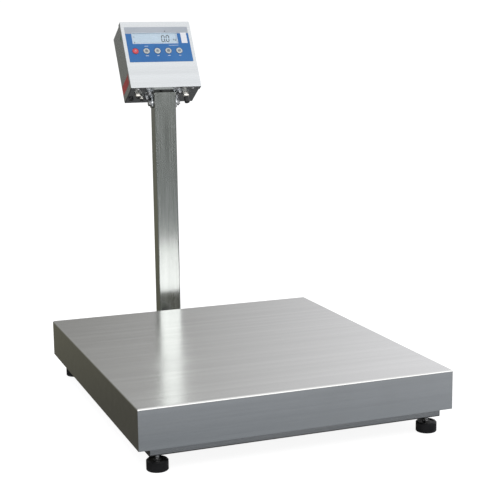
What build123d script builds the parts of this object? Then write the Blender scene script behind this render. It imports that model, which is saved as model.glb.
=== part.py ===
from build123d import *
import os
from math import cos, sin, tan, radians, pi, sqrt

# Stainless platform scale with a rear column and a tilting indicator head.
# Millimetres. Working frame while modelling: X across, centred on the pan; Y from the pan's
# front edge towards the back; Z up from the floor. Everything is shifted by -Y_SHIFT at export,
# so the exported origin is the centre of the overall box at floor level, front facing -Y.

# ---------------------------------------------------------------- driving dimensions
PAN_W, PAN_D = 700.0, 800.0        # weighing pan, front edge and side edge
PAN_TOP = 139.0                    # pan surface above the floor
SKIRT = 86.3                       # height of the folded skirt
PAN_T = 2.0                        # pan sheet
PAN_BEND = 3.5                     # outside bend radius of the top edges

RAIL = 40.0                        # base frame square tube
RAIL_T = 2.0
RAIL_Z0 = 35.0                     # underside of the base frame
RAIL_Z1 = RAIL_Z0 + RAIL
RAIL_MID = RAIL_Z0 + RAIL / 2
RAIL_INSET = 12.0                  # skirt face to rail face
RAIL_HALF = 325.0                  # half length of front and rear rails, plugs included
PLUG_T = 1.5
RAIL_CX = RAIL_HALF - PLUG_T - RAIL / 2   # centre line of the side rails
BEAM_CX = 70.0                     # centre line of the two centre beams

FOOT_R, FOOT_H = 22.5, 22.5        # levelling foot pad
STUD_R = 4.0                       # M8 stud
STUD_Z0, STUD_Z1 = 6.2, 59.5
LOCKNUT_H = 4.0
FOOT_Y = RAIL_INSET + RAIL / 2     # distance of the foot axes from the pan's front or rear edge

CELL_L, CELL_W, CELL_H = 150.0, 50.0, 38.0   # single point load cell
CELL_Z0 = 50.0
CELL_CY = PAN_D / 2
REC = 30.0                         # load receiver tube
REC_Z0 = 101.5
REC_Z1 = REC_Z0 + REC
REC_CX = 285.0
REC_CROSS = (310.0, 490.0)         # y of the two cross tubes

COL_W, COL_DP, COL_T, COL_R = 60.0, 40.0, 2.0, 4.0     # column tube
COL_Y0 = 915.0                     # front face of the column
COL_CY = COL_Y0 + COL_DP / 2
COL_TOP = 705.0                    # highest point of the slanted column top, at its front face
COL_SLANT = 40.0                   # slope of the column top
BRACKET_W, BRACKET_Y1 = 110.0, 985.0
NOTCH_W, NOTCH_Z1 = 122.0, 81.0    # cut-out in the rear skirt, over the column bracket
FLANGE_T = 6.0

TILT = 30.0                        # lean of the head at rest
HEAD_W, HEAD_H, HEAD_D = 195.0, 199.0, 90.0
HEAD_Y, HEAD_Z = 899.2, 719.4      # front lower edge of the head
SHEET = 1.5                        # head sheet
COVER_D = 16.0                     # depth of the front cover's rim
PIVOT_Y, PIVOT_Z = COL_CY, 676.0   # tilt axis, along X
EAR_X0, EAR_T = 32.0, 3.0          # inner face and thickness of the bracket ears

WIN_CX, WIN_CZ, WIN_W, WIN_H = -8.0, 148.0, 127.0, 34.0   # display window, in head coordinates
KEY_X = (-68.0, -37.5, -7.0, 23.5, 54.0)
KEY_Z = 109.0
KEY_R, KEY_TRAVEL = 8.4, 0.5
OVERLAY_W, OVERLAY_Z0, OVERLAY_Z1, OVERLAY_T = 176.5, 76.0, 182.0, 0.4

CABLE_R = 2.5
CABLE_Y = 943.5                    # where the cable rises inside the column

C30, S30 = cos(radians(TILT)), sin(radians(TILT))
HEAD_REAR = HEAD_Y + HEAD_H * S30 + HEAD_D * C30
Y_SHIFT = HEAD_REAR / 2            # half of the overall depth

os.makedirs("parts", exist_ok=True)
NODES = {}


def put(name, *shapes):
    """One node made of one or more separate solids."""
    solids = []
    for s in shapes:
        solids += list(s.solids())
    NODES[name] = solids


def block(x0, x1, y0, y1, z0, z1):
    return Pos((x0 + x1) / 2, (y0 + y1) / 2, (z0 + z1) / 2) * Box(x1 - x0, y1 - y0, z1 - z0)


def rod(x, y, z0, z1, r):
    return Pos(x, y, (z0 + z1) / 2) * Cylinder(r, z1 - z0)


def rod_x(x0, x1, y, z, r):
    return Pos((x0 + x1) / 2, y, z) * Rot(0, 90, 0) * Cylinder(r, x1 - x0)


def rod_y(x, y0, y1, z, r):
    return Pos(x, (y0 + y1) / 2, z) * Rot(90, 0, 0) * Cylinder(r, y1 - y0)


def hexa(x, y, z0, z1, af):
    """Hexagonal prism along Z, af across flats."""
    return Pos(x, y, z0) * extrude(RegularPolygon(af / sqrt(3), 6), z1 - z0)


def tube_x(x0, x1, cy, z0, z1, wide, t, r=3.0):
    """Rectangular tube running along X."""
    h = z1 - z0
    prof = RectangleRounded(wide, h, r) - RectangleRounded(wide - 2 * t, h - 2 * t, max(r - t, 0.5))
    return Pos(x0, cy, (z0 + z1) / 2) * extrude(Plane.YZ * prof, x1 - x0)


def tube_y(cx, y0, y1, z0, z1, wide, t, r=3.0):
    """Rectangular tube running along Y."""
    h = z1 - z0
    prof = RectangleRounded(wide, h, r) - RectangleRounded(wide - 2 * t, h - 2 * t, max(r - t, 0.5))
    return Pos(cx, y1, (z0 + z1) / 2) * extrude(Plane.XZ * prof, y1 - y0)


# ---------------------------------------------------------------- base frame
front = tube_x(-RAIL_HALF + PLUG_T, RAIL_HALF - PLUG_T, FOOT_Y, RAIL_Z0, RAIL_Z1, RAIL, RAIL_T)
rear = tube_x(-RAIL_HALF + PLUG_T, RAIL_HALF - PLUG_T, PAN_D - FOOT_Y, RAIL_Z0, RAIL_Z1, RAIL, RAIL_T)
bushes, locknuts = [], []
for sx in (-1, 1):
    for fy in (FOOT_Y, PAN_D - FOOT_Y):
        x = sx * RAIL_CX
        hole = rod(x, fy, RAIL_Z0 - 1, RAIL_Z0 + RAIL_T + 1, 8.0)
        if fy < PAN_D / 2:
            front -= hole
        else:
            rear -= hole
        bushes.append(rod(x, fy, RAIL_Z0, RAIL_Z0 + 13.5, 8.0) - rod(x, fy, RAIL_Z0 - 1, RAIL_Z0 + 20, STUD_R + 0.06))
        nut = hexa(x, fy, RAIL_Z0 - LOCKNUT_H, RAIL_Z0, 13.0) & rod(x, fy, RAIL_Z0 - LOCKNUT_H, RAIL_Z0, 7.2)
        locknuts.append(nut - rod(x, fy, RAIL_Z0 - 6, RAIL_Z0 + 1, STUD_R + 0.06))
rear -= rod_y(12.0, PAN_D - RAIL_INSET - RAIL - 1, PAN_D - RAIL_INSET + 1, RAIL_MID, 9.0)   # cable way
put("base_front_rail", front)
put("base_rear_rail", rear)
put("foot_bushes", *bushes)
put("foot_locknuts", *locknuts)

Y_IN0, Y_IN1 = RAIL_INSET + RAIL, PAN_D - RAIL_INSET - RAIL
put("base_left_rail", tube_y(-RAIL_CX, Y_IN0, Y_IN1, RAIL_Z0, RAIL_Z1, RAIL, RAIL_T))
put("base_right_rail", tube_y(RAIL_CX, Y_IN0, Y_IN1, RAIL_Z0, RAIL_Z1, RAIL, RAIL_T))
put("base_centre_beams",
    tube_y(-BEAM_CX, Y_IN0, Y_IN1, RAIL_Z0, RAIL_Z1, RAIL, RAIL_T),
    tube_y(BEAM_CX, Y_IN0, Y_IN1, RAIL_Z0, RAIL_Z1, RAIL, RAIL_T))

plugs = []
for sx in (-1, 1):
    for cy in (FOOT_Y, PAN_D - FOOT_Y):
        cap = Plane.YZ * RectangleRounded(RAIL, RAIL, 3.0)
        body = Plane.YZ * RectangleRounded(RAIL - 2 * RAIL_T - 0.4, RAIL - 2 * RAIL_T - 0.4, 1.0)
        inner = Plane.YZ * RectangleRounded(RAIL - 2 * RAIL_T - 4.4, RAIL - 2 * RAIL_T - 4.4, 1.0)
        p = extrude(cap, PLUG_T) + extrude(body, -4.0)
        p -= Pos(-4.0, 0, 0) * extrude(inner, 3.0)
        if sx < 0:
            p = Rot(0, 0, 180) * p
        plugs.append(Pos(sx * (RAIL_HALF - PLUG_T), cy, (RAIL_Z0 + RAIL_Z1) / 2) * p)

# column bracket: wide flat tube reaching back from the rear rail
BR_Y0 = PAN_D - RAIL_INSET
bracket = tube_y(0, BR_Y0, BRACKET_Y1 - PLUG_T, RAIL_Z0, RAIL_Z1, BRACKET_W, 3.0, 4.0)
FL_BOLTS = [(sx * 44.0, COL_CY + sy * 30.0) for sx in (-1, 1) for sy in (-1, 1)]
bracket -= rod(0, 939.0, RAIL_Z1 - 5, RAIL_Z1 + 1, 8.5)
for bx, by in FL_BOLTS:
    bracket -= rod(bx, by, RAIL_Z1 - 5, RAIL_Z1 + 1, 4.0)
put("column_bracket", bracket)
cap = Plane.XZ * RectangleRounded(BRACKET_W, RAIL, 4.0)
body = Plane.XZ * RectangleRounded(BRACKET_W - 6.4, RAIL - 6.4, 1.0)
p = extrude(cap, -PLUG_T) + extrude(body, 8.0)
plugs.append(Pos(0, BRACKET_Y1 - PLUG_T, (RAIL_Z0 + RAIL_Z1) / 2) * p)
put("tube_end_plugs", *plugs)

flange_z0, flange_z1 = RAIL_Z1, RAIL_Z1 + FLANGE_T
flange = Pos(0, COL_CY, flange_z0) * extrude(RectangleRounded(BRACKET_W, 84.0, 6.0), FLANGE_T)
flange -= rod(0, 939.0, flange_z0 - 1, flange_z1 + 1, 8.0)
bolts = []
for bx, by in FL_BOLTS:
    flange -= rod(bx, by, flange_z0 - 1, flange_z1 + 1, 4.0)
    head = hexa(bx, by, flange_z1 + 1.6, flange_z1 + 6.9, 13.0) & rod(bx, by, flange_z1, flange_z1 + 7, 7.3)
    bolts.append(rod(bx, by, flange_z0 - 12, flange_z1 + 2, 4.0) + head + rod(bx, by, flange_z1, flange_z1 + 1.6, 8.0))
put("column_flange", flange)
put("column_flange_bolts", *bolts)

# ---------------------------------------------------------------- column
FAR = 400.0


def below_top(offset):
    """Everything under the slanted column top moved along its normal by offset."""
    b = Pos(0, 0, -FAR / 2) * Box(FAR, FAR, FAR)
    ny, nz = sin(radians(COL_SLANT)), cos(radians(COL_SLANT))
    return Pos(0, COL_Y0 + ny * offset, COL_TOP + nz * offset) * Rot(-COL_SLANT, 0, 0) * b


CAP_T = 2.5
col_h = COL_TOP + 10 - flange_z1
col_outer = Pos(0, COL_CY, flange_z1) * extrude(RectangleRounded(COL_W, COL_DP, COL_R), col_h)
col_inner = Pos(0, COL_CY, flange_z1) * extrude(
    RectangleRounded(COL_W - 2 * COL_T, COL_DP - 2 * COL_T, COL_R - COL_T), col_h)
pivot_hole = rod_x(-60, 60, PIVOT_Y, PIVOT_Z, STUD_R + 0.05)
low = block(-60, 60, 850, 1000, flange_z1, 600)
column = (col_outer - col_inner) & (low + (below_top(-CAP_T) & block(-60, 60, 850, 1000, 599, 760)))
column -= pivot_hole
put("column_tube", column)
cap = col_outer & (below_top(0) - below_top(-CAP_T)) & block(-60, 60, 850, 1000, 650, 760)
cap -= rod(0, CABLE_Y, 640, 740, 5.0)
put("column_cap", cap)
grommet = (rod(0, CABLE_Y, 650, 720, 5.0) - rod(0, CABLE_Y, 640, 730, CABLE_R)) & (below_top(1.2) - below_top(-CAP_T - 1.5))
put("column_grommet", grommet)

# pivot bolt through the column head, with its nut, and two friction washers
bolt = rod_x(-EAR_X0 - EAR_T - 1.6 - 0.1, 46.5, PIVOT_Y, PIVOT_Z, STUD_R)
bolt += Pos(-EAR_X0 - EAR_T - 1.6, PIVOT_Y, PIVOT_Z) * Rot(0, -90, 0) * extrude(RegularPolygon(13 / sqrt(3), 6), 5.3)
bolt += rod_x(-EAR_X0 - EAR_T - 1.6, -EAR_X0 - EAR_T, PIVOT_Y, PIVOT_Z, 7.8)
nut = Pos(EAR_X0 + EAR_T + 1.6, PIVOT_Y, PIVOT_Z) * Rot(0, 90, 0) * extrude(RegularPolygon(13 / sqrt(3), 6), 6.5)
nut += rod_x(EAR_X0 + EAR_T, EAR_X0 + EAR_T + 1.6, PIVOT_Y, PIVOT_Z, 7.8)
nut -= rod_x(20, 60, PIVOT_Y, PIVOT_Z, STUD_R)
put("pivot_bolt", bolt, nut)
put("friction_washers",
    rod_x(-EAR_X0, -COL_W / 2, PIVOT_Y, PIVOT_Z, 8.5) - rod_x(-50, 50, PIVOT_Y, PIVOT_Z, STUD_R),
    rod_x(COL_W / 2, EAR_X0, PIVOT_Y, PIVOT_Z, 8.5) - rod_x(-50, 50, PIVOT_Y, PIVOT_Z, STUD_R))

# ---------------------------------------------------------------- load cell and receiver
PLATE_Z0 = RAIL_Z0
PLATE_Z1 = RAIL_Z0 + 8.0
FIX_Y = (CELL_CY - 63.0, CELL_CY - 45.0)
LIVE_Y = (CELL_CY + 41.0, CELL_CY + 57.0)
CELL_Z1 = CELL_Z0 + CELL_H
plate = block(-BEAM_CX + RAIL / 2, BEAM_CX - RAIL / 2, CELL_CY - 85, CELL_CY - 25, PLATE_Z0, PLATE_Z1)
spacer = block(-25, 25, CELL_CY - 75, CELL_CY - 35, PLATE_Z1, CELL_Z0)
cell = block(-CELL_W / 2, CELL_W / 2, CELL_CY - CELL_L / 2, CELL_CY + CELL_L / 2, CELL_Z0, CELL_Z1)
cz = (CELL_Z0 + CELL_Z1) / 2
cell -= rod_x(-40, 40, CELL_CY - 16, cz, 13.0)
cell -= rod_x(-40, 40, CELL_CY + 16, cz, 13.0)
cell -= block(-40, 40, CELL_CY - 16, CELL_CY + 16, cz - 6, cz + 6)
REC_PLATE_Z0, REC_PLATE_Z1 = CELL_Z1 + 5.0, REC_Z0
rec_plate = block(-60, 60, REC_CROSS[0] - 20, REC_CROSS[1] + 20, REC_PLATE_Z0, REC_PLATE_Z1)
up_spacer = block(-25, 25, CELL_CY + 32, CELL_CY + 66, CELL_Z1, REC_PLATE_Z0)
fixed, live = [], []
for x in (-13.0, 13.0):
    for y in FIX_Y:
        h = rod(x, y, PLATE_Z0 - 1, CELL_Z0 + 18, 4.0)
        plate -= h
        spacer -= h
        cell -= h
        b = rod(x, y, PLATE_Z0 - 2, CELL_Z0 + 17, 4.0) + hexa(x, y, PLATE_Z0 - 5.3, PLATE_Z0, 13.0)
        fixed.append(b)
    for y in LIVE_Y:
        h = rod(x, y, CELL_Z1 - 18, REC_PLATE_Z1 + 1, 4.0)
        rec_plate -= h
        up_spacer -= h
        cell -= h
        b = rod(x, y, CELL_Z1 - 17, REC_PLATE_Z1 + 1, 4.0) + rod(x, y, REC_PLATE_Z1, REC_PLATE_Z1 + 8, 6.5)
        b -= hexa(x, y, REC_PLATE_Z1 + 4, REC_PLATE_Z1 + 9, 6.0)
        live.append(b)
put("load_cell_plate", plate)
put("load_cell_lower_spacer", spacer)
put("load_cell", cell)
put("load_cell_fixed_bolts", *fixed)
put("load_cell_upper_spacer", up_spacer)
put("load_cell_live_bolts", *live)
put("receiver_plate", rec_plate)
put("receiver_side_tubes",
    tube_y(-REC_CX, 60, PAN_D - 60, REC_Z0, REC_Z1, REC, 2.0),
    tube_y(REC_CX, 60, PAN_D - 60, REC_Z0, REC_Z1, REC, 2.0))
put("receiver_cross_tubes", *[
    tube_x(-REC_CX + REC / 2, REC_CX - REC / 2, y, REC_Z0, REC_Z1, REC, 2.0) for y in REC_CROSS])
put("pan_pads", *[
    rod(sx * REC_CX, y, REC_Z1, PAN_TOP - PAN_T, 14.0) for sx in (-1, 1) for y in (90.0, PAN_D - 90.0)])

# overload stops: studs with jam nuts on the side rails, 0.8 mm under the receiver
STOP_GAP = 0.8
stops = []
for sx in (-1, 1):
    for y in (150.0, PAN_D - 150.0):
        x = sx * 292.0
        stops.append(rod(x, y, RAIL_Z1, REC_Z0 - STOP_GAP, 5.0) + hexa(x, y, RAIL_Z1, RAIL_Z1 + 8.0, 17.0)
                     + rod(x, y, REC_Z0 - STOP_GAP - 3, REC_Z0 - STOP_GAP, 7.0))
put("overload_stops", *stops)

# ---------------------------------------------------------------- pan
pan = block(-PAN_W / 2, PAN_W / 2, 0, PAN_D, PAN_TOP - SKIRT, PAN_TOP)
pan = fillet(pan.edges().filter_by(Axis.Z), 3.0)
pan = fillet(pan.faces().sort_by(Axis.Z)[-1].edges(), PAN_BEND)
hollow = block(-PAN_W / 2 + PAN_T, PAN_W / 2 - PAN_T, PAN_T, PAN_D - PAN_T, PAN_TOP - SKIRT - 20, PAN_TOP - PAN_T)
hollow = fillet(hollow.edges().filter_by(Axis.Z), 1.0)
hollow = fillet(hollow.faces().sort_by(Axis.Z)[-1].edges(), 2.0)
notch = block(-NOTCH_W / 2, NOTCH_W / 2, PAN_D - 20, PAN_D + 1, PAN_TOP - SKIRT - 5, NOTCH_Z1)
notch = fillet(notch.edges().filter_by(Axis.Y).sort_by(Axis.Z)[-2:], 6.0)
put("weighing_pan", pan - hollow - notch)


def hat(y, wide):
    z0, z1 = PAN_TOP - PAN_T - 12.0, PAN_TOP - PAN_T
    return block(-266, 266, y - wide / 2, y + wide / 2, z0, z1) - block(-270, 270, y - wide / 2 + 1.5, y + wide / 2 - 1.5, z0 + 1.5, z1 + 1)


put("pan_stiffeners", hat(190.0, 60.0), hat(400.0, 120.0), hat(610.0, 60.0))

# ---------------------------------------------------------------- levelling feet
for key, sx, fy in (("front_left", -1, FOOT_Y), ("front_right", 1, FOOT_Y),
                    ("rear_left", -1, PAN_D - FOOT_Y), ("rear_right", 1, PAN_D - FOOT_Y)):
    R, H = FOOT_R, FOOT_H
    prof = Polyline((STUD_R + 0.06, 6.0), (0, 6.0), (0, 0), (R - 1.5, 0), (R, 1.5), (R, 4.0), (R - 0.6, 4.6), (R - 0.6, 5.4),
                    (R, 6.0), (R, H - 2.5), (R - 2.5, H), (R - 6.0, H), (R - 7.0, H - 1.5), (9.0, H - 1.5), (7.5, H + 1.0),
                    (STUD_R + 0.06, H + 1.0), close=True)
    pad = revolve(Plane.XZ * make_face(prof), Axis.Z)
    put("foot_%s_pad" % key, Pos(sx * RAIL_CX, fy, 0) * pad)
    stud = rod(0, 0, STUD_Z0, STUD_Z1, STUD_R)
    stud = chamfer(stud.edges().sort_by(Axis.Z)[-1], 0.8)
    for s in (-1, 1):
        stud -= block(-5, 5, s * 4.3 - 1.05, s * 4.3 + 1.05, 25.0, 30.0)
    put("foot_%s_stud" % key, Pos(sx * RAIL_CX, fy, 0) * stud)

# ---------------------------------------------------------------- spirit level beside the column
LV_X, LV_Y = 30.0, 842.0
level = rod(LV_X, LV_Y, RAIL_Z1, RAIL_Z1 + 10, 13.0)
level = chamfer(level.edges().sort_by(Axis.Z)[-1], 1.0)
level -= rod(LV_X, LV_Y, RAIL_Z1 + 2.0, RAIL_Z1 + 12, 9.0)
put("spirit_level_housing", level)
put("spirit_level_vial", rod(LV_X, LV_Y, RAIL_Z1 + 2.0, RAIL_Z1 + 9.6, 9.0))

# ---------------------------------------------------------------- load cell cable
CZ = cz
route = [(CELL_W / 2, 342.0, CZ), (38.0, 342.0, CZ), (38.0, 640.0, CZ), (14.0, 725.0, RAIL_MID), (0.0, CABLE_Y, RAIL_MID), (0.0, CABLE_Y, 690.0)]
radii = [11.0, 60.0, 60.0, 28.0]
line = FilletPolyline(*route, radius=radii)
cable = sweep(Plane(origin=line @ 0, z_dir=line % 0) * Circle(CABLE_R), path=line)
cable = cable & (block(-100, 100, 300, 1000, 30, 640) + (below_top(0.0) & block(-60, 60, 900, 1000, 639, 740)))
put("load_cell_cable", cable)
print("cable length %.1f volume %.0f expected %.0f" % (line.length, cable.volume, line.length * pi * CABLE_R ** 2))

# ---------------------------------------------------------------- indicator head, in head coordinates:
# X across, Y depth behind the front face, Z up from the lower front edge
HEAD = Pos(0, HEAD_Y, HEAD_Z) * Rot(-TILT, 0, 0)
hw = HEAD_W / 2

cover = block(-hw, hw, 0, COVER_D, 0, HEAD_H)
cover = fillet(cover.edges().filter_by(Axis.Y), 2.5)
cover = fillet(cover.faces().sort_by(Axis.Y)[0].edges(), 1.8)
inner = block(-hw + SHEET, hw - SHEET, SHEET, COVER_D + 5, SHEET, HEAD_H - SHEET)
inner = fillet(inner.edges().filter_by(Axis.Y), 1.0)
cover -= inner
cover -= block(WIN_CX - WIN_W / 2 - 1, WIN_CX + WIN_W / 2 + 1, -1, 3, WIN_CZ - WIN_H / 2 - 1, WIN_CZ + WIN_H / 2 + 1)
for kx in KEY_X:
    cover -= rod_y(kx, -1, 3, KEY_Z, 7.6)

HOUSE_Y0 = SHEET + 3.0
hx = hw - SHEET
hz0, hz1 = SHEET, HEAD_H - SHEET
house = block(-hx, hx, HOUSE_Y0, HEAD_D, hz0, hz1)
house = fillet(house.edges().filter_by(Axis.Y), 2.5)
house = fillet(house.faces().sort_by(Axis.Y)[-1].edges(), 2.0)
cav = block(-hx + SHEET, hx - SHEET, HOUSE_Y0 + SHEET, HEAD_D - SHEET, hz0 + SHEET, hz1 - SHEET)
cav = fillet(cav.edges().filter_by(Axis.Y), 1.2)
house -= cav
house -= block(-hx + 9, hx - 9, HOUSE_Y0 - 1, HOUSE_Y0 + 3, hz0 + 9, hz1 - 9)

gasket = block(-hx + 1, hx - 1, SHEET, HOUSE_Y0, hz0 + 1, hz1 - 1) - block(-hx + 9, hx - 9, SHEET - 1, HOUSE_Y0 + 1, hz0 + 9, hz1 - 9)

screws = []
for x in (-76.0, 76.0):
    for z_out, s in ((HEAD_H, 1), (0.0, -1)):
        hole = rod(x, 11.0, min(z_out, z_out - s * 6) - 0.5, max(z_out, z_out - s * 6) + 0.5, 2.0)
        cover -= hole
        house -= hole
        a, b = sorted((z_out + s * 0.0, z_out + s * 1.8))
        c, d = sorted((z_out - s * 6.0, z_out + s * 0.5))
        screws.append(rod(x, 11.0, a, b, 3.6) + rod(x, 11.0, c, d, 2.0))

# keypad overlay, window, keys
overlay = block(-OVERLAY_W / 2, OVERLAY_W / 2, -OVERLAY_T, 0, OVERLAY_Z0, OVERLAY_Z1)
overlay = fillet(overlay.edges().filter_by(Axis.Y), 2.0)
overlay -= block(WIN_CX - WIN_W / 2, WIN_CX + WIN_W / 2, -2, 2, WIN_CZ - WIN_H / 2, WIN_CZ + WIN_H / 2)
for kx in KEY_X:
    overlay -= rod_y(kx, -2, 2, KEY_Z, 8.7)
window = block(WIN_CX - WIN_W / 2, WIN_CX + WIN_W / 2, -OVERLAY_T, 1.1, WIN_CZ - WIN_H / 2, WIN_CZ + WIN_H / 2)
lcd = block(WIN_CX - 69, WIN_CX + 69, 1.8, 3.4, WIN_CZ - 21, WIN_CZ + 21)          # glass
lcd_back = block(WIN_CX - 71, WIN_CX + 71, 3.4, 9.8, WIN_CZ - 23, WIN_CZ + 23)     # backlight and carrier
key_names = ("power", "zero", "tare", "print", "enter")
for name, kx in zip(key_names, KEY_X):
    capd = rod_y(kx, -1.3, -0.6, KEY_Z, KEY_R)
    capd = chamfer(capd.edges().sort_by(Axis.Y)[0], 0.35)
    key = capd + rod_y(kx, -0.7, 3.0, KEY_Z, 7.2)
    put("key_%s" % name, HEAD * key)
kboard = block(-84, 70, 5.2, 6.8, KEY_Z - 11, KEY_Z + 11)
switches = [block(kx - 3, kx + 3, 3.6, 5.2, KEY_Z - 3, KEY_Z + 3) for kx in KEY_X]

# boards
MB_Y = 58.0
board = block(-75, 75, MB_Y, MB_Y + 1.6, 40, 140)
parts = [board,
         block(-60, -22, MB_Y - 26, MB_Y, 60, 96),        # transformer
         block(-6, 12, MB_Y - 3.2, MB_Y, 84, 102),        # controller
         block(26, 38, MB_Y - 2.4, MB_Y, 92, 104),
         block(-10, 10, MB_Y - 9, MB_Y, 40, 50),          # load cell terminal
         block(30, 62, MB_Y - 9, MB_Y, 42, 51),           # supply terminal
         block(-66, -38, MB_Y - 5, MB_Y, 124, 130)]       # display connector
parts.append(rod_y(24, MB_Y - 16, MB_Y, 74, 5.0))
parts.append(rod_y(38, MB_Y - 16, MB_Y, 74, 5.0))
stand = [rod_y(x, MB_Y + 1.6, HEAD_D - SHEET, z, 4.0) for x in (-69, 69) for z in (46, 134)]

# glands and sockets under the head: the left gland is open for a supply cord, the others are plugged
bottom = hz0
glands, seals = [], []
GLANDS = (("open", -73.0, 30.0, 0.80), ("plug", -59.0, 50.0, 0.60), ("cap", 60.0, 32.0, 0.90))
for kind, gx, gy, k in GLANDS:
    rr = 8.0 * k
    house -= rod(gx, gy, bottom - 1, bottom + SHEET + 1, rr)
    g = rod(gx, gy, bottom - 1, bottom + SHEET + 6 * k, rr)
    for z0, z1 in ((bottom - 5.5 * k, bottom), (bottom + SHEET, bottom + SHEET + 4 * k)):
        g += Pos(gx, gy, z0) * extrude(RegularPolygon(20.0 * k / sqrt(3), 6, rotation=30), z1 - z0)
    dome = rod(gx, gy, bottom - 19 * k, bottom - 5.5 * k, 9.6 * k)
    dome = fillet(dome.edges().sort_by(Axis.Z)[0], 2.5 * k)
    g += dome
    g -= rod(gx, gy, bottom - 30, bottom + 30, 5.6 * k)
    glands.append(g)
    if kind == "open":
        s = rod(gx, gy, bottom - 20.5 * k, bottom - 6 * k, 5.6 * k) - rod(gx, gy, bottom - 30, bottom + 30, 3.0)
    else:
        reach = 36.0 if kind == "cap" else 22.0
        s = rod(gx, gy, bottom - 19 * k, bottom + 2, 5.6 * k)
        tip = rod(gx, gy, bottom - reach * k, bottom - 19 * k, 7.8 * k)
        tip = fillet(tip.edges().sort_by(Axis.Z)[0], 2.2 * k if kind == "cap" else 1.0)
        s += tip
    seals.append(s)
# black vent plug beside the glands
VENT = (-84.0, 62.0)
house -= rod(VENT[0], VENT[1], bottom - 1, bottom + SHEET + 1, 4.0)
seals.append(rod(VENT[0], VENT[1], bottom - 5, bottom, 6.5) + rod(VENT[0], VENT[1], bottom - 1, bottom + SHEET + 3, 4.0))

# tilt bracket: two angle brackets bolted under the housing, one beside each side of the column
rel_y, rel_z = PIVOT_Y - HEAD_Y, PIVOT_Z - HEAD_Z
piv_y = rel_y * C30 - rel_z * S30      # pivot in head coordinates
piv_z = rel_y * S30 + rel_z * C30
BP_T = 3.0
brackets = []
for s in (-1, 1):
    x0, x1 = (EAR_X0, EAR_X0 + EAR_T) if s > 0 else (-EAR_X0 - EAR_T, -EAR_X0)
    xa, xb = (EAR_X0, 50.0) if s > 0 else (-50.0, -EAR_X0)
    b = block(xa, xb, COVER_D + 2, 68, hz0 - BP_T, hz0)
    outer = b.edges().filter_by(Axis.Z).sort_by(Axis.X)
    b = fillet(outer[-2:] if s > 0 else outer[:2], 5.0)
    b += block(x0, x1, piv_y - 13, piv_y + 13, piv_z, hz0 - 0.5)
    b += rod_x(x0, x1, piv_y, piv_z, 13.0)
    b -= rod_x(-60, 60, piv_y, piv_z, STUD_R + 0.05)
    for by in (27.0, 59.0):
        b -= rod(s * 42.0, by, hz0 - BP_T - 1, hz0 + 1, 3.0)
    brackets.append(b)
bscrews = []
for x in (-42.0, 42.0):
    for by in (27.0, 59.0):
        house -= rod(x, by, hz0 - 1, hz0 + SHEET + 1, 3.0)
        b = rod(x, by, hz0 - BP_T - 1.5, hz0 + SHEET + 7, 3.0) + rod(x, by, hz0 - BP_T - 1.2, hz0 - BP_T, 6.2)
        b += hexa(x, by, hz0 - BP_T - 5.2, hz0 - BP_T - 1.2, 10.0)
        bscrews.append(b)

# cable from the column top into the head: it flexes when the head tilts
house_w = HEAD * house
CAP_Z = COL_TOP - (CABLE_Y - COL_Y0) * tan(radians(COL_SLANT))      # slanted top at the cable
term_y, term_z = MB_Y - 9.0, 45.0
end = (0.0, HEAD_Y + term_y * C30 + term_z * S30, HEAD_Z - term_y * S30 + term_z * C30)
run_y, run_z = end[1] - CABLE_Y, 14.0       # slope of the last stretch, carried 25 % past the terminal and trimmed there
link_line = FilletPolyline((0.0, CABLE_Y, CAP_Z - 8), (0.0, CABLE_Y, end[2] - run_z), (0.0, end[1] + 0.25 * run_y, end[2] + 0.25 * run_z), radius=10.0)
link = sweep(Plane(origin=link_line @ 0, z_dir=link_line % 0) * Circle(CABLE_R), path=link_line)
link = link - (below_top(0.0) & block(-30, 30, 915, 960, 640, 760))
link = link - HEAD * block(-20, 20, term_y, 80, 25, 65)
print("link", len(link.solids()), "volume %.0f" % link.volume)
house_w -= rod(0, CABLE_Y, 680, 712, CABLE_R + 2.5)

put("front_cover", HEAD * cover)
put("rear_housing", house_w)
put("housing_gasket", HEAD * gasket)
put("cover_screws", *[HEAD * s for s in screws])
put("keypad_overlay", HEAD * overlay)
put("display_window", HEAD * window)
put("lcd_module", HEAD * lcd, HEAD * lcd_back)
put("keypad_board", HEAD * kboard, *[HEAD * s for s in switches])
put("main_board", *[HEAD * s for s in parts])
put("board_standoffs", *[HEAD * s for s in stand])
put("cable_glands", *[HEAD * s for s in glands])
put("gland_seals", *[HEAD * s for s in seals])
put("tilt_bracket", *[HEAD * b for b in brackets])
put("tilt_bracket_bolts", *[HEAD * s for s in bscrews])
put("cable_link", link)

# ---------------------------------------------------------------- export
for old in os.listdir("parts"):
    if old.endswith(".step"):
        os.remove(os.path.join("parts", old))
for name, solids in NODES.items():
    moved = [Pos(0, -Y_SHIFT, 0) * s for s in solids]
    shape = Compound(children=moved) if len(moved) > 1 else moved[0]
    export_step(shape, "parts/%s.step" % name)
print(len(NODES), "nodes; Y_SHIFT %.3f" % Y_SHIFT)
print("pivot in head coordinates %.2f %.2f" % (piv_y, piv_z))
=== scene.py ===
import math
import random
import bmesh
import bpy
from mathutils import Matrix, Vector


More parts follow.
